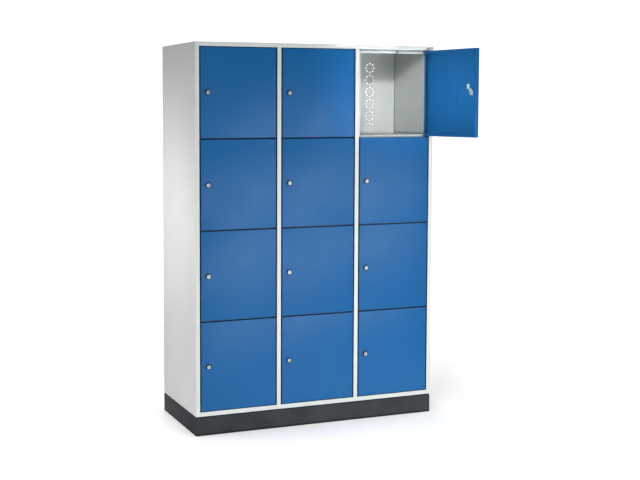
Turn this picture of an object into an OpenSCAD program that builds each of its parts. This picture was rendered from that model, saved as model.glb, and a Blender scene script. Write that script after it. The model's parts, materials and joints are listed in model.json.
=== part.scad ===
// Twelve-compartment steel locker: three columns of four doors on a closed plinth.
// Origin: centre of the footprint, on the floor. +Z up, the doors face -Y, +X to the right.
// Units: millimetres.

/* [Cabinet] */
// Depth over the side walls
cab_depth = 500; // [460:5:560]
// Height of the door zone, between the bottom rail and the top rail
door_zone_h = 1670; // [1500:10:1800]
// Width of the opening of one column
opening_w = 380; // [340:5:400]
// Width of the stiles, mullions and rails seen from the front
frame_w = 20; // [18:1:24]
// Thickness of the cabinet's sheet steel
sheet = 1; // [0.8:0.1:1.2]
// Distance from the front of the frame to the rear panels
rear_wall_y = 395; // [360:5:400]

/* [Plinth] */
// Height of the plinth
plinth_h = 90; // [80:5:120]
// Thickness of the plinth's sheet steel
plinth_sheet = 1.5; // [1.2:0.1:2]
// Height of the shadow groove between the plinth and the cabinet
groove_h = 3.5; // [3:0.5:5]
// Depth of the shadow groove
groove_d = 5; // [4:0.5:8]

/* [Stop strips and shelves] */
// Distance from the front of the frame to the stop strips
rebate_d = 22; // [22:1:26]
// Width of a stop strip
strip_w = 17; // [15:1:17]
// Depth of the hem behind a stop strip
hem_d = 10; // [6:1:10]
// Height of a shelf's surface over the middle of the joint between two doors
shelf_rise = 10; // [6:1:11]

/* [Doors] */
// Gap between two doors of one column
door_gap = 6; // [4:0.5:6]
// Gap between a door and the frame on each side
side_gap = 6; // [2:0.5:6]
// Depth of the folded door tray
door_d = 18; // [16:1:18]
// Thickness of the door's sheet steel
door_sheet = 1; // [0.8:0.1:1.2]
// Width of the lip folded back behind the lock edge
lock_lip = 22; // [16:1:22]
// Width of the other three lips
plain_lip = 14; // [12:1:16]
// Angle at which the top right door stands open
open_angle = 100; // [0:5:110]

/* [Hinges] */
// Distance from the hinge pin's axis to the right edge of the opening
pin_inset = 12; // [12:0.5:14]
// Distance from the hinge pin's axis to the front of the door
pin_setback = 5.5; // [5:0.5:5.5]
// Diameter of the hinge pins
pin_d = 6; // [5:0.5:6]

/* [Locks] */
// Distance from the left edge of the opening to the lock's axis
lock_inset = 40; // [40:1:45]
// Diameter of the lock's head
lock_head_d = 22; // [21:1:24]
// How far the lock's head stands out of the door
lock_head_h = 9; // [6:1:12]
// Reach of the cam's tongue from the lock's axis
cam_reach = 42; // [38:1:44]

/* [Ventilation] */
// Rosettes in one vertical line in each compartment
rosettes = 6; // [1:1:6]
// Vertical distance between rosettes
rosette_pitch = 61; // [55:1:62]
// Diameter of the circle on which a rosette's holes lie
rosette_pcd = 45; // [30:1:45]
// Diameter of a ventilation hole
vent_hole_d = 8; // [5:0.5:9]
// Distance of the two lines of rosettes from the middle of the column
rosette_offset = 68; // [40:1:100]

/* [Hidden] */
columns = 3;
rows = 4;
smooth = 64;

// Cabinet, measured from its front left corner
pitch_x = opening_w + frame_w;
cab_w = columns * pitch_x + frame_w;
body_z = plinth_h;
zone_z = plinth_h + frame_w;
cell_h = door_zone_h / rows;
zone_top = zone_z + door_zone_h;
cab_h = zone_top + frame_w;
rear_flange = 25;
rear_flange_h = 24;
bottom_flange = 30;
hem_end = rebate_d + hem_d;
shelf_flange = strip_w + door_gap / 2 + shelf_rise;
shelf_back_flange = 15;

// Wall-fixing holes in the rear flanges of the side walls
wall_hole_d = 9;
wall_hole_low = 200;
wall_hole_high = 1700;

// Plinth
plinth_flange = 30;
anchor_d = 11;
anchor_x = 500;
gusset = 80;
gusset_z = 55;
gusset_t = 3;
foot_inset = 60;
foot_thread_d = 10;
foot_pad_d = 40;
foot_pad_h = 8;
foot_nut_d = 18;
foot_nut_h = 8;

// Doors, measured from the hinge pin's axis and the door's lower edge
door_w = opening_w - 2 * side_gap;
door_h = cell_h - door_gap;
door_right = pin_inset - side_gap;
door_left = door_right - door_w;
door_front = -pin_setback;
bore_clearance = 0.1;
stiffener_w = 80;
stiffener_crown = 34;
stiffener_foot = 6;
stiffener_d = 6;
stiffener_end_gap = 3;

// Hinge plates and pins
plate_t = 2;
plate_r = 4.5;
pin_reach = 9;

// Locks, measured from the lock's axis and the front of the door
lock_x = lock_inset - opening_w + pin_inset;
barrel_d = 19;
barrel_flat = 16;
barrel_len = 20;
barrel_clearance = 0.2;
plug_d = 13;
plug_recess = 0.6;
plug_clearance = 0.1;
key_slot = [8, 2.2];
key_slot_depth = 4;
nut_across = 24;
nut_h = 5;
cam_t = 2;
cam_w = 16;
cam_start = barrel_len + 0.3;
cam_heel = 9;
crank_r = 20;
tongue_y = hem_end + 2;
cam_screw_d = 9;
cam_screw_h = 4;

// Buffers
buffer_d = 9;
buffer_gap = 0.2;
buffer_h = rebate_d - door_d - buffer_gap;
buffer_tip = 1;
buffer_x = 212;
buffer_drop = 10.5;

// Slot in the top rail, above the hinge of the last column
rail_slot = [12, 5];
rail_slot_z = 7;

// Ventilation
rosette_holes = 8;
vent_centre_d = 3;
vent_drop = 18;

// Colours
cabinet_grey = [0.80, 0.82, 0.82];
door_blue = [0.10, 0.30, 0.58];
plinth_black = [0.20, 0.21, 0.22];
bright_metal = [0.78, 0.78, 0.80];
dark_rubber = [0.08, 0.08, 0.08];
zinc = [0.62, 0.64, 0.66];

door_names = [for (r = [1:rows]) for (c = [1:columns]) str("r", r, "c", c)];

// ---- Places ----

// Left and right edges of a column's opening, from the cabinet's left side
function opening_left(c) = frame_w + (c - 1) * pitch_x;
function opening_right(c) = opening_left(c) + opening_w;
// Inner faces of the walls on both sides of a column
function wall_left(c) = c == 1 ? sheet : opening_left(c) - (frame_w - sheet) / 2;
function wall_right(c) = c == columns ? cab_w - sheet : opening_right(c) + (frame_w - sheet) / 2;
// Bottom and top of a door's cell; row 1 is the top row
function cell_bottom(r) = zone_z + (rows - r) * cell_h;
function cell_top(r) = cell_bottom(r) + cell_h;

// Moves cabinet coordinates, from the front left corner, to the part's frame
module from_corner() {
    translate([-cab_w / 2, -cab_depth / 2, 0])
        children();
}

// Places a door's piece, turned to the angle at which that door stands at rest
module at_door(r, c) {
    rest_angle = (r == 1 && c == columns) ? open_angle : 0;
    from_corner()
        translate([opening_right(c) - pin_inset, pin_setback, cell_bottom(r) + door_gap / 2])
            rotate([0, 0, rest_angle])
                children();
}

// Places a lock's piece: local Z runs inwards from the front of the door, local Y is up
module at_lock() {
    translate([lock_x, door_front, door_h / 2])
        rotate([-90, 0, 0])
            rotate([0, 0, 180])
                children();
}

// ---- Folded sheet ----

function unit(v) = v / norm(v);
function left_normal(a, b) = let (d = unit(b - a)) [-d[1], d[0]];
function shifted(path, i, t) =
    let (last = len(path) - 1)
    i == 0 ? path[0] + t * left_normal(path[0], path[1])
    : i == last ? path[last] + t * left_normal(path[last - 1], path[last])
    : let (n1 = left_normal(path[i - 1], path[i]), n2 = left_normal(path[i], path[i + 1]))
      path[i] + t * (n1 + n2) / (1 + n1 * n2);
// Outline of a sheet of thickness t that lies on the left of a path
function folded(path, t) = concat(path, [for (i = [len(path) - 1:-1:0]) shifted(path, i, t)]);

// Folded sheet with its section in plan (X, Y), from z0 to z1
module upright_fold(path, t, z0, z1) {
    translate([0, 0, z0])
        linear_extrude(z1 - z0)
            polygon(folded(path, t));
}

// Folded sheet with its section seen from the side (Y, Z), from x0 to x1
module cross_fold(path, t, x0, x1) {
    translate([x0, 0, 0])
        rotate([90, 0, 90])
            linear_extrude(x1 - x0)
                polygon(folded(path, t));
}

module box(low, high) {
    translate(low)
        cube(high - low);
}

// Rectangular ring of the footprint's shape, between two insets from its outline
module footprint_ring(outer, inner, z0, z1) {
    difference() {
        box([outer, outer, z0], [cab_w - outer, cab_depth - outer, z1]);
        box([inner, inner, z0 - 1], [cab_w - inner, cab_depth - inner, z1 + 1]);
    }
}

// ---- Cabinet ----

module plinth_corners() {
    far = gusset - plinth_sheet;
    for (x = [0, cab_w - gusset])
        for (y = [0, cab_depth - gusset])
            translate([x, y, gusset_z])
                box([plinth_sheet, plinth_sheet, 0], [far, far, gusset_t]);
}

module at_feet() {
    for (x = [foot_inset, cab_w - foot_inset])
        for (y = [foot_inset, cab_depth - foot_inset])
            translate([x, y, 0])
                children();
}

module plinth_frame() {
    neck_z = plinth_h - groove_h;
    color(plinth_black)
        from_corner()
            difference() {
                union() {
                    footprint_ring(0, plinth_sheet, 0, neck_z);
                    footprint_ring(0, groove_d + plinth_sheet, neck_z - plinth_sheet, neck_z);
                    footprint_ring(groove_d, groove_d + plinth_sheet, neck_z - plinth_sheet, plinth_h);
                    footprint_ring(groove_d, groove_d + plinth_flange, plinth_h - plinth_sheet, plinth_h);
                    footprint_ring(0, plinth_flange, 0, plinth_sheet);
                    plinth_corners();
                }
                at_feet()
                    translate([0, 0, gusset_z - 1])
                        cylinder(d = foot_thread_d + 0.5, h = gusset_t + 2, $fn = smooth);
                for (x = [-anchor_x, anchor_x])
                    for (y = [plinth_flange / 2, cab_depth - plinth_flange / 2])
                        translate([cab_w / 2 + x, y, -1])
                            cylinder(d = anchor_d, h = plinth_sheet + 2, $fn = smooth);
            }
}

module levelling_feet() {
    color(zinc)
        from_corner()
            at_feet() {
                cylinder(d = foot_pad_d, h = foot_pad_h, $fn = smooth);
                cylinder(d = foot_thread_d, h = plinth_h - 2 * groove_h, $fn = smooth);
                translate([0, 0, gusset_z - foot_nut_h])
                    cylinder(d = foot_nut_d, h = foot_nut_h, $fn = 6);
            }
}

module base_panel() {
    floor_z = zone_z + shelf_rise;
    path = [[cab_depth, body_z + 2], [cab_depth, floor_z], [rebate_d, floor_z], [rebate_d, zone_z],
            [0, zone_z], [0, body_z], [bottom_flange, body_z]];
    color(cabinet_grey)
        from_corner()
            difference() {
                cross_fold(path, sheet, sheet, cab_w - sheet);
                mirrored_ends() {
                    box([0, -1, 0], [frame_w, hem_end, cab_h]);
                    box([0, rebate_d, 0], [frame_w + strip_w, hem_end, cab_h]);
                    box([0, cab_depth - sheet, 0], [rear_flange, cab_depth + 1, cab_h]);
                    box([0, sheet, 0], [bottom_flange, cab_depth + 1, body_z + sheet]);
                }
            }
}

// Draws its children at the left end and mirrored at the right end of the cabinet
module mirrored_ends() {
    children();
    translate([cab_w, 0, 0])
        mirror([1, 0, 0])
            children();
}

module roof_panel() {
    under = cab_h - sheet;
    path = [[0, under], [0, zone_top], [rebate_d, zone_top], [rebate_d, zone_top - strip_w],
            [hem_end, zone_top - strip_w]];
    slot_x = opening_right(columns) - pin_inset;
    color(cabinet_grey)
        from_corner() {
            difference() {
                cross_fold(path, sheet, frame_w, cab_w - frame_w);
                mirrored_ends()
                    box([0, rebate_d, 0], [frame_w + strip_w, hem_end, under]);
                translate([slot_x - rail_slot[0] / 2, -1, zone_top + rail_slot_z])
                    cube([rail_slot[0], sheet + 2, rail_slot[1]]);
            }
            box([0, 0, under], [cab_w, cab_depth, cab_h]);
            box([rear_flange, cab_depth - sheet, under - rear_flange_h],
                [cab_w - rear_flange, cab_depth, under]);
        }
}

module side_wall() {
    path = [[rear_flange, cab_depth], [0, cab_depth], [0, 0], [frame_w, 0], [frame_w, rebate_d],
            [frame_w + strip_w, rebate_d], [frame_w + strip_w, hem_end]];
    difference() {
        union() {
            upright_fold(path, sheet, body_z, cab_h - sheet);
            box([0, sheet, body_z], [bottom_flange, cab_depth - sheet, body_z + sheet]);
        }
        for (z = [wall_hole_low, wall_hole_high])
            translate([rear_flange / 2, cab_depth + 1, z])
                rotate([90, 0, 0])
                    cylinder(d = wall_hole_d, h = sheet + 2, $fn = smooth);
    }
}

module left_side_wall() {
    color(cabinet_grey)
        from_corner()
            side_wall();
}

module right_side_wall() {
    color(cabinet_grey)
        mirror([1, 0, 0])
            from_corner()
                side_wall();
}

module mullion_posts() {
    color(cabinet_grey)
        from_corner()
            for (c = [1:columns - 1])
                translate([opening_right(c), 0, 0]) {
                    face = [[0, rebate_d], [0, 0], [frame_w, 0], [frame_w, rebate_d]];
                    left = [[-strip_w, hem_end], [-strip_w, rebate_d]];
                    right = [[frame_w + strip_w, rebate_d], [frame_w + strip_w, hem_end]];
                    whole = concat(left, face, right);
                    upright_fold(face, sheet, zone_z, zone_top);
                    upright_fold(whole, sheet, zone_z + shelf_rise, zone_top - strip_w);
                }
}

module partition_walls() {
    floor_z = zone_z + shelf_rise;
    back_y = rear_wall_y + sheet;
    outline = [[sheet, floor_z], [back_y, floor_z], [back_y, cab_h - sheet], [hem_end, cab_h - sheet],
               [hem_end, zone_top - strip_w], [sheet, zone_top - strip_w]];
    color(cabinet_grey)
        from_corner()
            for (c = [1:columns - 1])
                translate([wall_right(c), 0, 0])
                    rotate([90, 0, 90])
                        linear_extrude(sheet)
                            polygon(outline);
}

module shelf(r, c) {
    top = cell_bottom(r) + shelf_rise;
    path = [[rear_wall_y, top - shelf_back_flange], [rear_wall_y, top], [rebate_d, top],
            [rebate_d, top - shelf_flange], [hem_end, top - shelf_flange]];
    difference() {
        cross_fold(path, sheet, wall_left(c), wall_right(c));
        box([wall_left(c) - 1, 0, 0], [opening_left(c) + strip_w, hem_end, cab_h]);
        box([opening_right(c) - strip_w, 0, 0], [wall_right(c) + 1, hem_end, cab_h]);
    }
}

module shelves() {
    color(cabinet_grey)
        from_corner()
            for (r = [1:rows - 1])
                for (c = [1:columns])
                    shelf(r, c);
}

// Places of the rosettes: side -1 or 1 of the column's middle, and i counted upwards
function rosette_x(c, side) = (opening_left(c) + opening_right(c)) / 2 + side * rosette_offset;
function rosette_z(r, i) =
    cell_bottom(r) + cell_h / 2 - vent_drop + (i - (rosettes - 1) / 2) * rosette_pitch;

module rosette() {
    for (i = [0:rosette_holes - 1])
        rotate(i * 360 / rosette_holes)
            translate([rosette_pcd / 2, 0])
                circle(d = vent_hole_d, $fn = smooth / 2);
    circle(d = vent_centre_d, $fn = smooth / 2);
}

// Rear panel of one column, between the walls, with two lines of rosettes in each compartment
module rear_panel(c) {
    floor_z = zone_z + shelf_rise;
    linear_extrude(sheet)
        difference() {
            translate([wall_left(c), floor_z])
                square([wall_right(c) - wall_left(c), cab_h - sheet - floor_z]);
            for (r = [1:rows])
                for (side = [-1, 1])
                    for (i = [0:rosettes - 1])
                        translate([rosette_x(c, side), rosette_z(r, i)])
                            rosette();
        }
}

module rear_panels() {
    color(cabinet_grey)
        from_corner()
            translate([0, rear_wall_y + sheet, 0])
                rotate([90, 0, 0])
                    for (c = [1:columns])
                        rear_panel(c);
}

// Pins on which the doors turn: stubs on the two rails, and a plate with a pin in each door gap
module hinge_plates() {
    color(plinth_black)
        from_corner()
            for (c = [1:columns])
                translate([opening_right(c) - pin_inset, pin_setback, 0]) {
                    translate([0, 0, zone_z])
                        cylinder(d = pin_d, h = pin_reach, $fn = smooth);
                    translate([0, 0, zone_top - pin_reach])
                        cylinder(d = pin_d, h = pin_reach, $fn = smooth);
                    for (r = [1:rows - 1])
                        translate([0, 0, cell_bottom(r)]) {
                            box([0, -plate_r, -plate_t / 2], [pin_inset, plate_r, plate_t / 2]);
                            translate([0, 0, -plate_t / 2])
                                cylinder(r = plate_r, h = plate_t, $fn = smooth);
                            translate([0, 0, -pin_reach])
                                cylinder(d = pin_d, h = 2 * pin_reach, $fn = smooth);
                        }
                }
}

module door_buffers() {
    body_h = buffer_h - buffer_tip;
    color(dark_rubber)
        from_corner()
            for (r = [1:rows])
                for (c = [1:columns])
                    translate([opening_left(c) + buffer_x, rebate_d, cell_top(r) - buffer_drop])
                        rotate([90, 0, 0]) {
                            cylinder(d = buffer_d, h = body_h, $fn = smooth);
                            translate([0, 0, body_h])
                                cylinder(d1 = buffer_d, d2 = buffer_d - 3, h = buffer_tip, $fn = smooth);
                        }
}

// ---- Doors ----

module door_leaf() {
    inner = door_sheet;
    color(door_blue)
        difference() {
            box([door_left, door_front, 0], [door_right, door_front + door_d, door_h]);
            box([door_left + inner, door_front + inner, inner],
                [door_right - inner, door_front + door_d - inner, door_h - inner]);
            box([door_left + lock_lip, door_front + door_d - 2 * inner, plain_lip],
                [door_right - plain_lip, door_front + door_d + 1, door_h - plain_lip]);
            translate([0, 0, -1])
                cylinder(d = pin_d + bore_clearance, h = door_h + 2, $fn = smooth);
            at_lock()
                translate([0, 0, -1])
                    cylinder(d = barrel_d + barrel_clearance, h = door_sheet + 2, $fn = smooth);
        }
}

module door_stiffener() {
    low = door_front + door_sheet;
    high = low + stiffener_d - door_sheet;
    half = stiffener_w / 2;
    crown = stiffener_crown / 2;
    path = [[-half, low], [stiffener_foot - half, low], [-crown, high],
            [crown, high], [half - stiffener_foot, low], [half, low]];
    color(door_blue)
        translate([(door_left + door_right) / 2, 0, 0])
            upright_fold(path, door_sheet, stiffener_end_gap, door_h - stiffener_end_gap);
}

// Head, threaded barrel with two flats, and the nut behind the door
module lock_housing() {
    color(bright_metal)
        at_lock() {
            difference() {
                union() {
                    translate([0, 0, -lock_head_h])
                        cylinder(d1 = lock_head_d - 2, d2 = lock_head_d, h = 1, $fn = smooth);
                    translate([0, 0, 1 - lock_head_h])
                        cylinder(d = lock_head_d, h = lock_head_h - 1, $fn = smooth);
                    intersection() {
                        cylinder(d = barrel_d, h = barrel_len, $fn = smooth);
                        translate([-barrel_d, -barrel_flat / 2, 0])
                            cube([2 * barrel_d, barrel_flat, barrel_len]);
                    }
                }
                translate([0, 0, -lock_head_h - 1])
                    cylinder(d = plug_d + plug_clearance, h = lock_head_h + barrel_len + 2, $fn = smooth);
            }
            translate([0, 0, door_sheet])
                difference() {
                    cylinder(d = nut_across / cos(30), h = nut_h, $fn = 6);
                    translate([0, 0, -1])
                        cylinder(d = barrel_d + plug_clearance, h = nut_h + 2, $fn = smooth);
                }
        }
}

// Key plug, cranked cam with its tongue up (unlocked), and the cam's screw
module lock_core() {
    color(zinc)
        at_lock() {
            difference() {
                translate([0, 0, plug_recess - lock_head_h])
                    cylinder(d = plug_d, h = cam_start - plug_recess + lock_head_h, $fn = smooth);
                translate([-key_slot[1] / 2, -key_slot[0] / 2, -lock_head_h])
                    cube([key_slot[1], key_slot[0], key_slot_depth]);
            }
            box([-cam_w / 2, -cam_heel, cam_start], [cam_w / 2, crank_r, cam_start + cam_t]);
            box([-cam_w / 2, crank_r - cam_t, cam_start], [cam_w / 2, crank_r, tongue_y + cam_t]);
            box([-cam_w / 2, crank_r - cam_t, tongue_y], [cam_w / 2, cam_reach, tongue_y + cam_t]);
            translate([0, 0, cam_start + cam_t])
                cylinder(d = cam_screw_d, h = cam_screw_h, $fn = 6);
        }
}

// ---- Nodes ----

plinth_frame();
levelling_feet();
base_panel();
roof_panel();
left_side_wall();
right_side_wall();
mullion_posts();
partition_walls();
shelves();
rear_panels();
hinge_plates();
door_buffers();
for (r = [1:rows])
    for (c = [1:columns]) {
        at_door(r, c) door_leaf();
        at_door(r, c) door_stiffener();
        at_door(r, c) lock_housing();
        at_door(r, c) lock_core();
    }
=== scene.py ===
"""Looks of the twelve-compartment steel locker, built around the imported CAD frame."""
import json
import math

import bmesh
import bpy
from mathutils import Matrix, Vector

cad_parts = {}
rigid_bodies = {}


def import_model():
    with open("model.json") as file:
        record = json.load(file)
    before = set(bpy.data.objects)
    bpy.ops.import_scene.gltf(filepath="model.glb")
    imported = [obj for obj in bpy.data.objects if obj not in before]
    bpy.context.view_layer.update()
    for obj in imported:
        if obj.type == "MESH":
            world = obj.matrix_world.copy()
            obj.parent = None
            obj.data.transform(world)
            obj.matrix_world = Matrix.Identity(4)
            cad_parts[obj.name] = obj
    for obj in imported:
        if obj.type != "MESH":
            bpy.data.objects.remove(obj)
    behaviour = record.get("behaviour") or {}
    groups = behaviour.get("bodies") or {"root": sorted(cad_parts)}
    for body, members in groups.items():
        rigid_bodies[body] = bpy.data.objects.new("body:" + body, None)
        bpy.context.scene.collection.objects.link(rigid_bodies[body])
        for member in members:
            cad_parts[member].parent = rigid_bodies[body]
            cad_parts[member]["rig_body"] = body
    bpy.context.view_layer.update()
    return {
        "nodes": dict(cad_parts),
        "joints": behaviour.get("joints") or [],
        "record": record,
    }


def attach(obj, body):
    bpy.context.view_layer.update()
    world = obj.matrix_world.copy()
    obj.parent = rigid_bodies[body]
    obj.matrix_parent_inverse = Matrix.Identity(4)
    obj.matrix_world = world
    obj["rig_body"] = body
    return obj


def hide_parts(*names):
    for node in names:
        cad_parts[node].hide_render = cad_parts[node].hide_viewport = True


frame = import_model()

MM = 0.001
SLOT_OF = {entry["node"]: entry["material_slot"] for entry in frame["record"]["subparts"]}
JOINTS = {joint["name"]: joint for joint in frame["joints"]}
CELLS = [f"r{row}c{column}" for row in range(1, 5) for column in range(1, 4)]

# Camera: left of the locker, at eye height, turned to the right and slightly down
CAMERA_PLACE = (-2.243, -5.139, 1.506)
CAMERA_YAW, CAMERA_PITCH = math.radians(21.17), math.radians(4.24)
CAMERA_LENS, SENSOR_WIDTH = 64.4, 36.0
CAMERA_SHIFT = (0.1107, -0.075)

# Studio: each softbox's place, the point it faces, its width and height, its power in watts, the
# angle to which a grid narrows its beam, and its tint where it is not white
WHITE = (1.0, 1.0, 1.0)
OPEN_BEAM = 180
LIGHTS = {
    "front_right": ((1.22, -2.1, 0.95), (0.7, 0.0, 0.95), (0.95, 0.8), 21.0, OPEN_BEAM),
    "front_middle": ((0.28, -2.1, 0.60), (0.2, 0.0, 0.62), (0.95, 0.7), 17.5, OPEN_BEAM),
    "front_left": ((-1.9, -2.0, 0.85), (0.2, 0.0, 0.90), (1.2, 0.9), 7.5, OPEN_BEAM),
    "side": ((-1.5, 0.2, 1.0), (0.0, 0.2, 0.95), (0.7, 0.5), 11.3, OPEN_BEAM, (1.0, 0.93, 0.94)),
    "key": ((-2.8, -4.0, 2.9), (0.3, 0.0, 1.1), (1.2, 1.2), 94.0, OPEN_BEAM),
    "compartment": ((-0.45, -2.6, 2.42), (0.42, 0.0, 1.53), (0.5, 0.5), 0.56, 9),
    "open_door": ((-1.9, -1.6, 1.8), (0.64, -0.45, 1.60), (0.4, 0.4), 0.48, 11),
    "top": ((0.0, 0.0, 6.0), (0.0, 0.0, 0.0), (2.4, 2.4), 105.0, OPEN_BEAM),
    "back": ((0.4, 4.0, 1.6), (0.0, 0.0, 0.9), (2.4, 1.8), 66.0, OPEN_BEAM),
    "right": ((4.0, 0.4, 1.4), (0.0, 0.0, 0.9), (2.0, 1.6), 49.0, OPEN_BEAM),
}
ROOM_FILL = 0.04            # what the white room gives the locker
ROOM_SEEN = 1.2             # how bright the camera sees the room
FLOOR_RADIUS = 3.2
FLOOR_FADE = (1.0, 2.6)     # distances from the middle between which the floor fades out
FLOOR_CLOUD_SCALE = 1.5
FLOOR_ROUGHNESS = 0.8
FLOOR_GLOW = 0.2

# Sheet metal, as in the CAD model, and how its mesh is treated
SHEET = 1.0 * MM
PLINTH_SHEET = 1.5 * MM
FOLD_RADIUS = 1.5 * MM
PLINTH_FOLD_RADIUS = 3.0 * MM
FOLD_STEPS = 4
FOLD_ANGLE = math.radians(60)
CORNER_ANGLE = math.radians(40)
CORNER_STEPS = 2
SMOOTH_ANGLE = math.radians(32)
FLAT_ANGLE = math.radians(0.5)
SLIM = 0.6                  # a face with less area than this, times sheet and outline, is slim
WELD = 1e-6

# Noise values between which a pattern changes from one thing to the other
EVEN = (0.3, 0.7)
CLOUDY = (0.35, 0.65)
SPECKLED = (0.55, 0.75)
PATCHY = (0.35, 0.7)
SMEARED = (0.3, 0.75)

# Powder coat: noise scales of its parts, and what dust does to it near the floor
CLOUD_SCALE, SPECK_SCALE = 2.2, 900.0
DUST_SCALE, SMEAR_SCALE = 14.0, 7.0
GRAIN_SCALE, WAVE_SCALE = 420.0, 9.0
SPECK_TONE, SPECK_SHARE = 0.86, 0.5
DUST_COLOUR = (0.42, 0.40, 0.37)
DUST_HEIGHT = 0.35
DUST_ROUGHNESS = 0.8
WAVE_HEIGHT, WAVE_STRENGTH = 0.6 * MM, 0.35
# Reach, samples and span of the painted shade that darkens narrow gaps
CREVICE_REACH = 16 * MM
CREVICE_SAMPLES = 6
CREVICE_SPAN = (0.45, 0.95)

# Plated metal: how far its fine lines are drawn out, and how its polish is worn
LINE_STRETCH = (1.0, 1.0, 9.0)
LINE_FINENESS = 4.0
LINE_STRENGTH = 0.5
WORN_SPAN = (0.2, 1.0)
WORN_ROUGHNESS = 0.14
LOCK_CLOUD_TONE = 0.84
LOCK_CLOUD_SCALE = 220.0
LOCK_ROUGHNESS = 0.40
LOCK_SCRATCHES = 0.004 * MM
LOCK_METALLIC = 0.65
TINT_EDGE = 0.1 * MM

# Rubber
RUBBER_CLOUD_SCALE, RUBBER_GRAIN_SCALE = 300.0, 1500.0
RUBBER_ROUGHNESS = (0.6, 0.85)
RUBBER_GRAIN = 0.04 * MM

# Colours
# Painted shade colours for narrow gaps: GAP_SHADE is tinted blue as a painted reflection of the
# blue door edges, and GROOVE_SHADE darkens the plinth's groove
GAP_SHADE = (0.012, 0.028, 0.058)
GROOVE_SHADE = (0.002, 0.002, 0.003)
GREY_BASE, GREY_CLOUD = (0.56, 0.595, 0.585), (0.53, 0.565, 0.555)
BLUE_BASE, BLUE_CLOUD = (0.007, 0.090, 0.258), (0.008, 0.096, 0.272)
BLACK_BASE, BLACK_CLOUD = (0.027, 0.031, 0.036), (0.032, 0.036, 0.041)
FLOOR_BASE, FLOOR_CLOUD = (0.90, 0.90, 0.90), (0.88, 0.88, 0.88)
STEEL_BASE, STEEL_CLOUD = (0.62, 0.66, 0.60), (0.50, 0.53, 0.50)
RUBBER_BASE, RUBBER_CLOUD = (0.012, 0.012, 0.012), (0.022, 0.022, 0.022)
LOCK_FACE = (0.68, 0.72, 0.73)
# LOCK_PLUG is darker than the face as painted shade for the keyway, which is too narrow to show
# dark by itself
LOCK_PLUG = (0.36, 0.38, 0.39)
LOCK_SHADE = (0.05, 0.05, 0.055)
ZINC_PALE = (0.86, 0.84, 0.82)
ZINC_YELLOW = (0.80, 0.84, 0.72)

# Locks, in millimetres from the lock's axis or, along it, from the front of the door inwards
BORE, HEAD, BARREL, THREAD_ROOT = 6.55, 11.0, 9.5, 8.9
BARREL_END = 20.0
BARREL_FLATS = 16.0
THREAD_START, THREAD_END, THREAD_PITCH = 0.6, 19.4, 1.0
THREAD_CREST = (0.4, 0.6)
NUT_FLATS, NUT_ROUND = 24.0, 12.0
PLUG, PLUG_FACE, PLUG_CHAMFER, PLUG_END = 6.5, -8.4, 0.4, 20.3
PLUG_STEPS = 48
KEYWAY_REACH, KEYWAY_RADIUS, KEYWAY_DEPTH, KEYWAY_STEPS = 2.9, 1.1, 4.0, 8
CAM_HALF, CAM_SHEET, CAM_CORNER, CAM_BEND = 8.0, 2.0, 4.0, 2.5
CAM_STEP, CAM_EDGE, CAM_EDGE_SHARE = 1.0, 0.25, 0.75
CAM_HEEL_SHARE = 0.25
CAM_SPINE = [(-9, 21.3), (19, 21.3), (19, 35), (42, 35)]
SCREW_FLATS, SCREW_ROUND = 8.0, 3.0
AXIS = 0.0001               # radius of a ring that is welded into one point

# Outlines that are turned round an axis: radius and height, in millimetres
HEAD_PROFILE = [
    (BORE, -8.5), (BORE + 0.35, -8.9), (7.4, -9.0), (8.2, -8.85), (9.3, -8.2), (10.2, -7.3),
    (10.8, -6.2), (HEAD, -5.0), (HEAD, -2.2), (10.6, -2.0), (10.6, -1.7), (HEAD, -1.5),
    (HEAD, -0.2), (HEAD - 0.2, 0.0)]
NUT_PROFILE = [(9.55, 1.0), (13.0, 1.0), (13.86, 1.5), (13.86, 5.5), (13.0, 6.0), (9.55, 6.0)]
WASHER_PROFILE = [
    (AXIS, 22.3), (5.6, 22.3), (5.8, 22.5), (5.8, 23.0), (5.6, 23.2), (AXIS, 23.2)]
SCREW_PROFILE = [
    (AXIS, 23.2), (4.2, 23.2), (4.5, 23.4), (4.5, 25.8), (4.1, 26.3), (AXIS, 26.3)]
BUFFER_PROFILE = [
    (AXIS, 0.0), (4.5, 0.0), (4.5, 0.5), (4.2, 0.8), (4.05, 1.9), (3.7, 2.9), (2.8, 3.5),
    (1.4, 3.75), (AXIS, 3.8)]


# ---- Camera ----

def make_camera():
    data = bpy.data.cameras.new("camera")
    data.sensor_width = SENSOR_WIDTH
    data.lens = CAMERA_LENS
    data.shift_x, data.shift_y = CAMERA_SHIFT
    camera = bpy.data.objects.new("camera", data)
    camera.location = CAMERA_PLACE
    camera.rotation_euler = (math.pi / 2 - CAMERA_PITCH, 0.0, -CAMERA_YAW)
    bpy.context.scene.collection.objects.link(camera)
    bpy.context.scene.camera = camera


# ---- Materials ----

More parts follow.
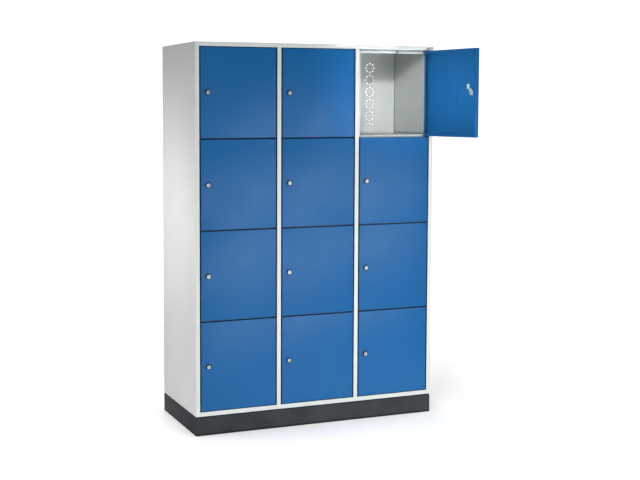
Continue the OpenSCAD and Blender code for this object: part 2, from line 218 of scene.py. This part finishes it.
class Nodes:
    """Short calls for building a node tree around one Principled shader."""

    def __init__(self, name):
        self.material = bpy.data.materials.new(name)
        self.material.use_nodes = True
        self.tree = self.material.node_tree
        self.shader = self.tree.nodes["Principled BSDF"]

    def add(self, kind, **settings):
        node = self.tree.nodes.new(kind)
        for key, value in settings.items():
            setattr(node, key, value)
        return node

    def link(self, output, target):
        self.tree.links.new(output, target)

    def paint(self, output, socket):
        """Links an output to a socket of the shader."""
        self.link(output, self.shader.inputs[socket])

    def set(self, socket, value):
        """Gives a socket of the shader one value for the whole surface."""
        self.shader.inputs[socket].default_value = value

    def coordinates(self):
        return self.add("ShaderNodeTexCoord").outputs["Object"]

    def axis(self, place, letter):
        node = self.add("ShaderNodeSeparateXYZ")
        self.link(place, node.inputs["Vector"])
        return node.outputs[letter]

    def noise(self, source, scale, detail=3.0, roughness=0.5):
        node = self.add("ShaderNodeTexNoise")
        node.inputs["Scale"].default_value = scale
        node.inputs["Detail"].default_value = detail
        node.inputs["Roughness"].default_value = roughness
        self.link(source, node.inputs["Vector"])
        return node.outputs["Fac"]

    def remap(self, value, span, result=(0.0, 1.0)):
        """Stretches a span of values to the result, and stops at its ends."""
        node = self.add("ShaderNodeMapRange", clamp=True)
        for key, number in zip(("From Min", "From Max", "To Min", "To Max"), (*span, *result)):
            node.inputs[key].default_value = number
        self.link(value, node.inputs["Value"])
        return node.outputs["Result"]

    def math(self, operation, first, second):
        node = self.add("ShaderNodeMath", operation=operation)
        for socket, value in zip(node.inputs, (first, second)):
            if isinstance(value, (int, float)):
                socket.default_value = value
            else:
                self.link(value, socket)
        return node.outputs["Value"]

    def mix(self, factor, first, second):
        node = self.add("ShaderNodeMix", data_type="RGBA")
        self.link(factor, node.inputs["Factor"])
        for key, value in (("A", first), ("B", second)):
            socket = [s for s in node.inputs if s.name == key and s.type == "RGBA"][0]
            if isinstance(value, tuple):
                socket.default_value = (*value, 1.0)
            else:
                self.link(value, socket)
        return [s for s in node.outputs if s.type == "RGBA"][0]

    def gap_shade_mask(self):
        """Painted shade mask: 0 deep in a narrow gap, where shade falls, and 1 on open surfaces.
        """
        node = self.add("ShaderNodeAmbientOcclusion", samples=CREVICE_SAMPLES)
        node.inputs["Distance"].default_value = CREVICE_REACH
        return self.remap(node.outputs["AO"], CREVICE_SPAN)

    def bump(self, height, distance, strength=1.0, below=None):
        node = self.add("ShaderNodeBump")
        node.inputs["Distance"].default_value = distance
        node.inputs["Strength"].default_value = strength
        self.link(height, node.inputs["Height"])
        if below is not None:
            self.link(below, node.inputs["Normal"])
        return node.outputs["Normal"]


def toned(colour, factor):
    return tuple(factor * channel for channel in colour)


def powder_coat(name, base, cloud, roughness, peel, dust=0.10, gloss=0.25, painted_shade=None):
    """Powder-coated sheet: orange peel, cloudy colour, handling marks, dust near the floor, and
    painted shade in narrow gaps where a shade colour is given.
    """
    n = Nodes(name)
    place = n.coordinates()
    colour = n.mix(n.remap(n.noise(place, CLOUD_SCALE, detail=4.0), CLOUDY), base, cloud)
    specks = n.remap(n.noise(place, SPECK_SCALE, detail=1.0), SPECKLED, (0.0, SPECK_SHARE))
    colour = n.mix(specks, colour, toned(base, SPECK_TONE))
    low = n.remap(n.axis(place, "Z"), (0.0, DUST_HEIGHT), (dust, 0.0))
    dusty = n.math("MULTIPLY", low, n.remap(n.noise(place, DUST_SCALE), PATCHY, (0.2, 1.0)))
    colour = n.mix(dusty, colour, DUST_COLOUR)
    # Painted shade: narrow gaps are darkened towards the given shade colour
    if painted_shade is not None:
        colour = n.mix(n.gap_shade_mask(), painted_shade, colour)
    n.paint(colour, "Base Color")
    smears = n.noise(place, SMEAR_SCALE, detail=5.0, roughness=0.65)
    rough = n.remap(smears, SMEARED, (roughness - 0.05, roughness + 0.10))
    n.paint(n.math("ADD", rough, n.math("MULTIPLY", dusty, DUST_ROUGHNESS)), "Roughness")
    grain = n.bump(n.noise(place, GRAIN_SCALE, detail=2.0), peel)
    wave = n.bump(n.noise(place, WAVE_SCALE, detail=1.0), WAVE_HEIGHT, WAVE_STRENGTH, grain)
    n.paint(wave, "Normal")
    n.set("Specular IOR Level", gloss)
    return n.material


def finish_metal(n, place, colour, roughness, scale, scratches, metallic=1.0):
    """Gives a shader its colour, its metallic value, an uneven polish and fine drawn lines."""
    n.paint(colour, "Base Color")
    n.set("Metallic", metallic)
    stretch = n.add("ShaderNodeMapping")
    stretch.inputs["Scale"].default_value = LINE_STRETCH
    n.link(place, stretch.inputs["Vector"])
    lines = n.noise(stretch.outputs["Vector"], LINE_FINENESS * scale)
    smears = n.noise(place, scale)
    worn = n.math("MULTIPLY", n.remap(lines, EVEN, (0.4, 1.0)), n.remap(smears, EVEN, (0.5, 1.0)))
    n.paint(n.remap(worn, WORN_SPAN, (roughness, roughness + WORN_ROUGHNESS)), "Roughness")
    n.paint(n.bump(lines, scratches, LINE_STRENGTH), "Normal")
    return n.material


def plated_steel(name, base, cloud, roughness, scale, scratches):
    """Plated metal with a cloudy tint."""
    n = Nodes(name)
    place = n.coordinates()
    colour = n.mix(n.remap(n.noise(place, scale, detail=4.0), EVEN), base, cloud)
    return finish_metal(n, place, colour, roughness, scale, scratches)


def past(n, value, edge):
    """0 below an edge and 1 above it."""
    return n.remap(value, (edge - TINT_EDGE, edge + TINT_EDGE))


def lock_metal(name, tints, limit, depth, near_depth):
    """Plated metal of a lock, in three tints: near the axis, round that, and behind a depth.

    Near the axis the first tint comes back behind near_depth.
    """
    n = Nodes(name)
    place = n.coordinates()
    squares = [n.math("POWER", n.axis(place, letter), 2.0) for letter in "XY"]
    outside = past(n, n.math("SQRT", n.math("ADD", *squares), 0.0), limit)
    depths = n.axis(place, "Z")
    screw = n.math("MULTIPLY", past(n, depths, near_depth), n.math("SUBTRACT", 1.0, outside))
    behind = n.math("SUBTRACT", past(n, depths, depth), screw)
    clouds = n.remap(n.noise(place, LOCK_CLOUD_SCALE, detail=4.0), CLOUDY)
    near, far, back = [n.mix(clouds, tint, toned(tint, LOCK_CLOUD_TONE)) for tint in tints]
    colour = n.mix(behind, n.mix(outside, near, far), back)
    return finish_metal(n, place, colour, LOCK_ROUGHNESS, LOCK_CLOUD_SCALE, LOCK_SCRATCHES,
                        LOCK_METALLIC)


def rubber(name, base, cloud):
    n = Nodes(name)
    place = n.coordinates()
    clouds = n.noise(place, RUBBER_CLOUD_SCALE)
    n.paint(n.mix(n.remap(clouds, EVEN), base, cloud), "Base Color")
    n.paint(n.remap(clouds, EVEN, RUBBER_ROUGHNESS), "Roughness")
    n.paint(n.bump(n.noise(place, RUBBER_GRAIN_SCALE), RUBBER_GRAIN), "Normal")
    return n.material


def make_materials():
    grey = (GREY_BASE, GREY_CLOUD, 0.42, 0.05 * MM)
    blue = (BLUE_BASE, BLUE_CLOUD, 0.38, 0.03 * MM)
    black = (BLACK_BASE, BLACK_CLOUD, 0.45, 0.05 * MM)
    steel = (STEEL_BASE, STEEL_CLOUD, 0.34, 90.0, 0.006 * MM)
    # On the lock housing, the middle tint LOCK_SHADE is painted shade on the head's shoulder and
    # side, round the bright face
    housing = ((LOCK_FACE, LOCK_SHADE, ZINC_PALE), 7.9 * MM, -0.3 * MM, 30 * MM)
    core = ((LOCK_PLUG, LOCK_PLUG, ZINC_YELLOW), 7.6 * MM, 20.2 * MM, 22.35 * MM)
    return {
        # cabinet_grey, door_blue and plinth_black darken their narrow gaps with painted shade;
        # inner_grey has none
        "cabinet_grey": powder_coat("cabinet_grey", *grey, painted_shade=GAP_SHADE),
        "inner_grey": powder_coat("inner_grey", *grey),
        "door_blue": powder_coat("door_blue", *blue, dust=0.02, gloss=0.155, painted_shade=GAP_SHADE),
        "plinth_black": powder_coat("plinth_black", *black, dust=0.04, gloss=0.02,
                                    painted_shade=GROOVE_SHADE),
        "lock_housing": lock_metal("lock_housing", *housing),
        "lock_core": lock_metal("lock_core", *core),
        "zinc_steel": plated_steel("zinc_steel", *steel),
        "black_rubber": rubber("black_rubber", RUBBER_BASE, RUBBER_CLOUD),
    }


# ---- Meshes ----

def plain_bmesh(node):
    """A CAD node's mesh as a new bmesh, with its corners joined and its flat faces whole."""
    source = frame["nodes"][node].data
    mesh = bpy.data.meshes.new("scratch")
    mesh.from_pydata([v.co[:] for v in source.vertices], [],
                     [p.vertices[:] for p in source.polygons])
    bm = bmesh.new()
    bm.from_mesh(mesh)
    bpy.data.meshes.remove(mesh)
    bmesh.ops.remove_doubles(bm, verts=bm.verts, dist=WELD)
    bmesh.ops.dissolve_limit(bm, angle_limit=FLAT_ANGLE, verts=bm.verts, edges=bm.edges)
    return bm


def fold_edges(bm, sheet, convex):
    """Edges of about a right angle on the outer (convex) or the inner side of folded sheet.

    Slim faces are the sheet's cut edges, and those stay sharp.
    """
    slim = {f for f in bm.faces if f.calc_area() < SLIM * sheet * f.calc_perimeter()}
    found = []
    for edge in bm.edges:
        if len(edge.link_faces) != 2 or slim.intersection(edge.link_faces):
            continue
        if edge.calc_face_angle(0.0) > FOLD_ANGLE and edge.is_convex == convex:
            found.append(edge)
    return found


def bevel(bm, edges, size, steps):
    bmesh.ops.bevel(bm, geom=edges, offset=size, offset_type="OFFSET", segments=steps,
                    profile=0.5, affect="EDGES", clamp_overlap=True)


def round_folds(bm, sheet, radius):
    """Rounds each fold: the radius on its outer side, and the radius less the sheet inside."""
    for convex, size in ((True, radius), (False, radius - sheet)):
        edges = fold_edges(bm, sheet, convex)
        if edges:
            bevel(bm, edges, size, FOLD_STEPS)


def soften(bm, size):
    """Takes the sharpness off every corner edge."""
    edges = [e for e in bm.edges
             if len(e.link_faces) == 2 and e.calc_face_angle(0.0) > CORNER_ANGLE]
    bevel(bm, edges, size, CORNER_STEPS)


def finish_mesh(bm, name):
    """The mesh, without slivers or wire edges, with outward normals and sharp corners."""
    bmesh.ops.dissolve_degenerate(bm, dist=WELD, edges=bm.edges)
    wires = [e for e in bm.edges if not e.link_faces]
    bmesh.ops.delete(bm, geom=wires, context="EDGES")
    bmesh.ops.recalc_face_normals(bm, faces=bm.faces)
    mesh = bpy.data.meshes.new(name)
    bm.to_mesh(mesh)
    bm.free()
    mesh.shade_smooth()
    mesh.set_sharp_from_angle(angle=SMOOTH_ANGLE)
    return mesh


def stand_for(node, mesh, matrix=None, material=None):
    """Shows a mesh in place of a CAD node, on its body and, if none is given, in its finish."""
    piece = bpy.data.objects.new(node + "_finish", mesh)
    bpy.context.scene.collection.objects.link(piece)
    if matrix is not None:
        piece.matrix_world = matrix
    mesh.materials.clear()
    mesh.materials.append(material or MATERIALS[SLOT_OF[node]])
    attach(piece, frame["nodes"][node]["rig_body"])
    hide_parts(node)


def refold(node, sheet=SHEET, radius=FOLD_RADIUS):
    """Shows a folded sheet part with rounded folds."""
    bm = plain_bmesh(node)
    round_folds(bm, sheet, radius)
    stand_for(node, finish_mesh(bm, node + "_finish"))


def ease(node, size):
    """Shows a solid part with its corner edges eased."""
    bm = plain_bmesh(node)
    soften(bm, size)
    stand_for(node, finish_mesh(bm, node + "_finish"))


def ring_of(bm, points, height):
    """New vertices at (x, y) points, all at one height."""
    return [bm.verts.new((x, y, height)) for x, y in points]


def bridge(bm, low, high):
    """Faces between two rings of as many vertices."""
    for i in range(len(low)):
        j = (i + 1) % len(low)
        bm.faces.new((low[i], low[j], high[j], high[i]))


def circle(radius, steps, shape=None):
    """Points of a circle; shape(radius, angle) gives a changed radius, in millimetres."""
    points = []
    for i in range(steps):
        angle = 2 * math.pi * i / steps
        r = (shape(radius, angle) if shape else radius) * MM
        points.append((r * math.cos(angle), r * math.sin(angle)))
    return points


def turned(bm, profile, steps=48, shape=None):
    """Turns a closed profile of (radius, height) pairs, in millimetres, round Z."""
    rings = [ring_of(bm, circle(radius, steps, shape), height * MM) for radius, height in profile]
    for low, high in zip(rings, rings[1:] + rings[:1]):
        bridge(bm, low, high)


# ---- Locks ----

def hexagon(across, round_within):
    """Shape of a hexagon that measures this much across its flats, and is round near its axis."""
    def shape(radius, angle):
        if radius <= round_within:
            return radius
        turn = (angle + math.pi / 6) % (math.pi / 3) - math.pi / 6
        return min(radius, across / 2 / math.cos(turn))
    return shape


def flattened(width, narrowest, widest):
    """Shape with two flats this far apart, above and below its axis, between two radii."""
    def shape(radius, angle):
        reach = abs(math.sin(angle)) * radius
        if radius > widest or radius <= narrowest or reach <= width / 2:
            return radius
        return width / 2 / abs(math.sin(angle))
    return shape


def lock_housing_mesh():
    """Round head with a broad shoulder, threaded barrel with two flats, and the nut."""
    bm = bmesh.new()
    profile = HEAD_PROFILE + [(BARREL - 0.2, 0.0)]
    for turn in range(int((THREAD_END - THREAD_START) / THREAD_PITCH)):
        start = THREAD_START + turn * THREAD_PITCH
        profile.append((THREAD_ROOT, start))
        profile += [(BARREL, start + offset) for offset in THREAD_CREST]
    profile += [(THREAD_ROOT, THREAD_END), (THREAD_ROOT - 0.3, BARREL_END), (BORE, BARREL_END)]
    turned(bm, profile, shape=flattened(BARREL_FLATS, BORE + 0.6, BARREL))
    turned(bm, NUT_PROFILE, shape=hexagon(NUT_FLATS, NUT_ROUND))
    return finish_mesh(bm, "lock_housing")


def plug_face(bm, outer, inner):
    """Flat ring between a round outline and the keyway in it."""
    edges = []
    for loop in (outer, inner):
        for i in range(len(loop)):
            pair = (loop[i], loop[(i + 1) % len(loop)])
            edges.append(bm.edges.get(pair) or bm.edges.new(pair))
    bmesh.ops.triangle_fill(bm, use_beauty=True, use_dissolve=True, edges=edges)


def keyway():
    """Outline of an upright slot with round ends."""
    outline = []
    for centre, start in ((KEYWAY_REACH, 0.0), (-KEYWAY_REACH, math.pi)):
        for i in range(KEYWAY_STEPS + 1):
            angle = start + math.pi * i / KEYWAY_STEPS
            x, y = KEYWAY_RADIUS * math.cos(angle), centre + KEYWAY_RADIUS * math.sin(angle)
            outline.append((x * MM, y * MM))
    return outline


def add_plug(bm):
    """Key plug with a chamfered face and a keyway."""
    face, slot, body = PLUG_FACE * MM, keyway(), circle(PLUG, PLUG_STEPS)
    outer = ring_of(bm, circle(PLUG - PLUG_CHAMFER, PLUG_STEPS), face)
    inner = ring_of(bm, slot, face)
    plug_face(bm, outer, inner)
    floor = ring_of(bm, slot, face + KEYWAY_DEPTH * MM)
    bridge(bm, inner, floor)
    bm.faces.new(floor)
    side = ring_of(bm, body, face + PLUG_CHAMFER * MM)
    end = ring_of(bm, body, PLUG_END * MM)
    bridge(bm, side, outer)
    bridge(bm, end, side)
    bm.faces.new(end)


def bent_path(points, radius, steps=6):
    """A polyline with its inner corners rounded."""
    path = [points[0]]
    for before, corner, after in zip(points, points[1:], points[2:]):
        back = (before - corner).normalized()
        ahead = (after - corner).normalized()
        for i in range(steps + 1):
            t = i / steps
            path.append(corner + radius * (back * (1 - t) ** 2 + ahead * t ** 2))
    path.append(points[-1])
    return path


def divided(path, step):
    """The path with more points, about a step apart."""
    dense = []
    for first, second in zip(path, path[1:]):
        count = max(1, int((second - first).length / step))
        dense += [first.lerp(second, i / count) for i in range(count)]
    dense.append(path[-1])
    return dense


def cam_width(heel, tip):
    """Half the cam's width, at distances from its round heel and from its tip."""
    half, corner = CAM_HALF * MM, CAM_CORNER * MM
    wide = half
    if heel < half:
        wide = math.sqrt(max(half ** 2 - (half - heel) ** 2, (CAM_HEEL_SHARE * half) ** 2))
    if tip < corner:
        wide = half - corner + math.sqrt(max(corner ** 2 - (corner - tip) ** 2, 0.0))
    return wide


def add_cam(bm):
    """Cranked cam: a flat strip with a round heel, and a tongue with rounded corners."""
    sheet, edge = CAM_SHEET * MM, CAM_EDGE * MM
    corners = [Vector((y * MM, z * MM)) for y, z in CAM_SPINE]
    path = divided(bent_path(corners, CAM_BEND * MM), CAM_STEP * MM)
    lengths = [0.0]
    for first, second in zip(path, path[1:]):
        lengths.append(lengths[-1] + (second - first).length)
    rings = []
    for i, point in enumerate(path):
        along = (path[min(i + 1, len(path) - 1)] - path[max(i - 1, 0)]).normalized()
        side = Vector((-along.y, along.x)) * sheet / 2
        wide = cam_width(lengths[i], lengths[-1] - lengths[i])
        flat = wide - edge
        outline = [(-wide, -CAM_EDGE_SHARE), (-flat, -1.0), (flat, -1.0), (wide, -CAM_EDGE_SHARE),
                   (wide, CAM_EDGE_SHARE), (flat, 1.0), (-flat, 1.0), (-wide, CAM_EDGE_SHARE)]
        places = [(x, point + side * share) for x, share in outline]
        rings.append([bm.verts.new((x, place.x, place.y)) for x, place in places])
    for low, high in zip(rings, rings[1:]):
        bridge(bm, low, high)
    bm.faces.new(rings[0])
    bm.faces.new(rings[-1])


def lock_core_mesh():
    """Key plug, cam with its tongue up, washer and hexagon screw."""
    bm = bmesh.new()
    add_plug(bm)
    add_cam(bm)
    turned(bm, WASHER_PROFILE, steps=36)
    turned(bm, SCREW_PROFILE, shape=hexagon(SCREW_FLATS, SCREW_ROUND))
    bmesh.ops.remove_doubles(bm, verts=bm.verts, dist=2 * WELD)
    return finish_mesh(bm, "lock_core")


def lock_matrix(cell):
    """Place of a lock: where its axis meets the front of the door, Z into the door, Y up."""
    joint = JOINTS[f"lock_{cell}_turn"]
    inwards = -Vector(joint["axis"])
    up = Vector((0.0, 0.0, 1.0))
    right = up.cross(inwards)
    matrix = Matrix((right, up, inwards)).transposed().to_4x4()
    matrix.translation = Vector(joint["pos_m"])
    return matrix


# ---- Buffers ----

def buffer_centres():
    """Centre of each buffer's foot, from the separate solids of the CAD node."""
    bm = plain_bmesh("door_buffers")
    left, centres = set(bm.verts), []
    while left:
        island, rim = set(), [left.pop()]
        while rim:
            vert = rim.pop()
            island.add(vert)
            new = {e.other_vert(vert) for e in vert.link_edges} & left
            left -= new
            rim.extend(new)
        low = [min(v.co[i] for v in island) for i in range(3)]
        high = [max(v.co[i] for v in island) for i in range(3)]
        centres.append(Vector(((low[0] + high[0]) / 2, high[1], (low[2] + high[2]) / 2)))
    bm.free()
    return sorted(centres, key=lambda p: (round(p.z, 3), p.x))


def buffer_mesh():
    """Twelve domed rubber buffers, each with a thin collar, on their stop strips."""
    bm = bmesh.new()
    for centre in buffer_centres():
        part = bmesh.new()
        turned(part, BUFFER_PROFILE, steps=24)
        bmesh.ops.remove_doubles(part, verts=part.verts, dist=2 * WELD)
        part.transform(Matrix.Translation(centre) @ Matrix.Rotation(math.pi / 2, 4, "X"))
        mesh = bpy.data.meshes.new("scratch")
        part.to_mesh(mesh)
        part.free()
        bm.from_mesh(mesh)
        bpy.data.meshes.remove(mesh)
    return finish_mesh(bm, "door_buffers")


# ---- Stage ----

def make_floor():
    """A plain pale disc under the locker; its rim fades into the white background."""
    bm = bmesh.new()
    bmesh.ops.create_circle(bm, cap_ends=True, segments=96, radius=FLOOR_RADIUS)
    mesh = bpy.data.meshes.new("floor")
    bm.to_mesh(mesh)
    bm.free()
    floor = bpy.data.objects.new("floor", mesh)
    bpy.context.scene.collection.objects.link(floor)
    n = Nodes("floor")
    place = n.coordinates()
    clouds = n.remap(n.noise(place, FLOOR_CLOUD_SCALE), EVEN)
    n.paint(n.mix(clouds, FLOOR_BASE, FLOOR_CLOUD), "Base Color")
    n.set("Roughness", FLOOR_ROUGHNESS)
    distance = n.add("ShaderNodeVectorMath", operation="LENGTH")
    n.link(place, distance.inputs[0])
    n.paint(n.remap(distance.outputs["Value"], FLOOR_FADE, (1.0, 0.0)), "Alpha")
    n.set("Emission Color", (*WHITE, 1.0))
    n.set("Emission Strength", FLOOR_GLOW)
    mesh.materials.append(n.material)


def make_world():
    """A white studio: the camera sees full white, and the locker gets only a low fill from it."""
    world = bpy.data.worlds.new("studio")
    bpy.context.scene.world = world
    world.use_nodes = True
    tree = world.node_tree
    background = tree.nodes["Background"]
    background.inputs["Color"].default_value = (*WHITE, 1.0)
    path = tree.nodes.new("ShaderNodeLightPath")
    strength = tree.nodes.new("ShaderNodeMapRange")
    strength.inputs["To Min"].default_value = ROOM_FILL
    strength.inputs["To Max"].default_value = ROOM_SEEN
    tree.links.new(path.outputs["Is Camera Ray"], strength.inputs["Value"])
    tree.links.new(strength.outputs["Result"], background.inputs["Strength"])


def softbox(name, place, target, size, watts, beam, tint=WHITE):
    data = bpy.data.lights.new(name, "AREA")
    data.shape = "RECTANGLE"
    data.size, data.size_y = size
    data.energy = watts
    data.color = tint
    data.spread = math.radians(beam)
    light = bpy.data.objects.new(name, data)
    light.location = place
    aim = Vector(target) - Vector(place)
    light.rotation_euler = aim.to_track_quat("-Z", "Y").to_euler()
    light.visible_camera = False
    bpy.context.scene.collection.objects.link(light)


# ---- Assembly ----

make_camera()
MATERIALS = make_materials()

for name in ("base_panel", "roof_panel", "left_side_wall", "right_side_wall", "mullion_posts",
             "shelves"):
    refold(name)
refold("plinth_frame", PLINTH_SHEET, PLINTH_FOLD_RADIUS)
for cell in CELLS:
    refold("door_leaf_" + cell)
    refold("door_stiffener_" + cell)
housing, core = lock_housing_mesh(), lock_core_mesh()
for cell in CELLS:
    stand_for("lock_housing_" + cell, housing, lock_matrix(cell), MATERIALS["lock_housing"])
    stand_for("lock_core_" + cell, core, lock_matrix(cell), MATERIALS["lock_core"])
stand_for("door_buffers", buffer_mesh())
ease("hinge_plates", 0.3 * MM)
ease("levelling_feet", 0.5 * MM)
for name in ("partition_walls", "rear_panels"):
    carried = frame["nodes"][name]
    carried.data.materials.clear()
    carried.data.materials.append(MATERIALS["inner_grey"])

make_floor()
make_world()
for name, settings in LIGHTS.items():
    softbox(name, *settings)
bpy.context.scene.view_settings.view_transform = "Standard"
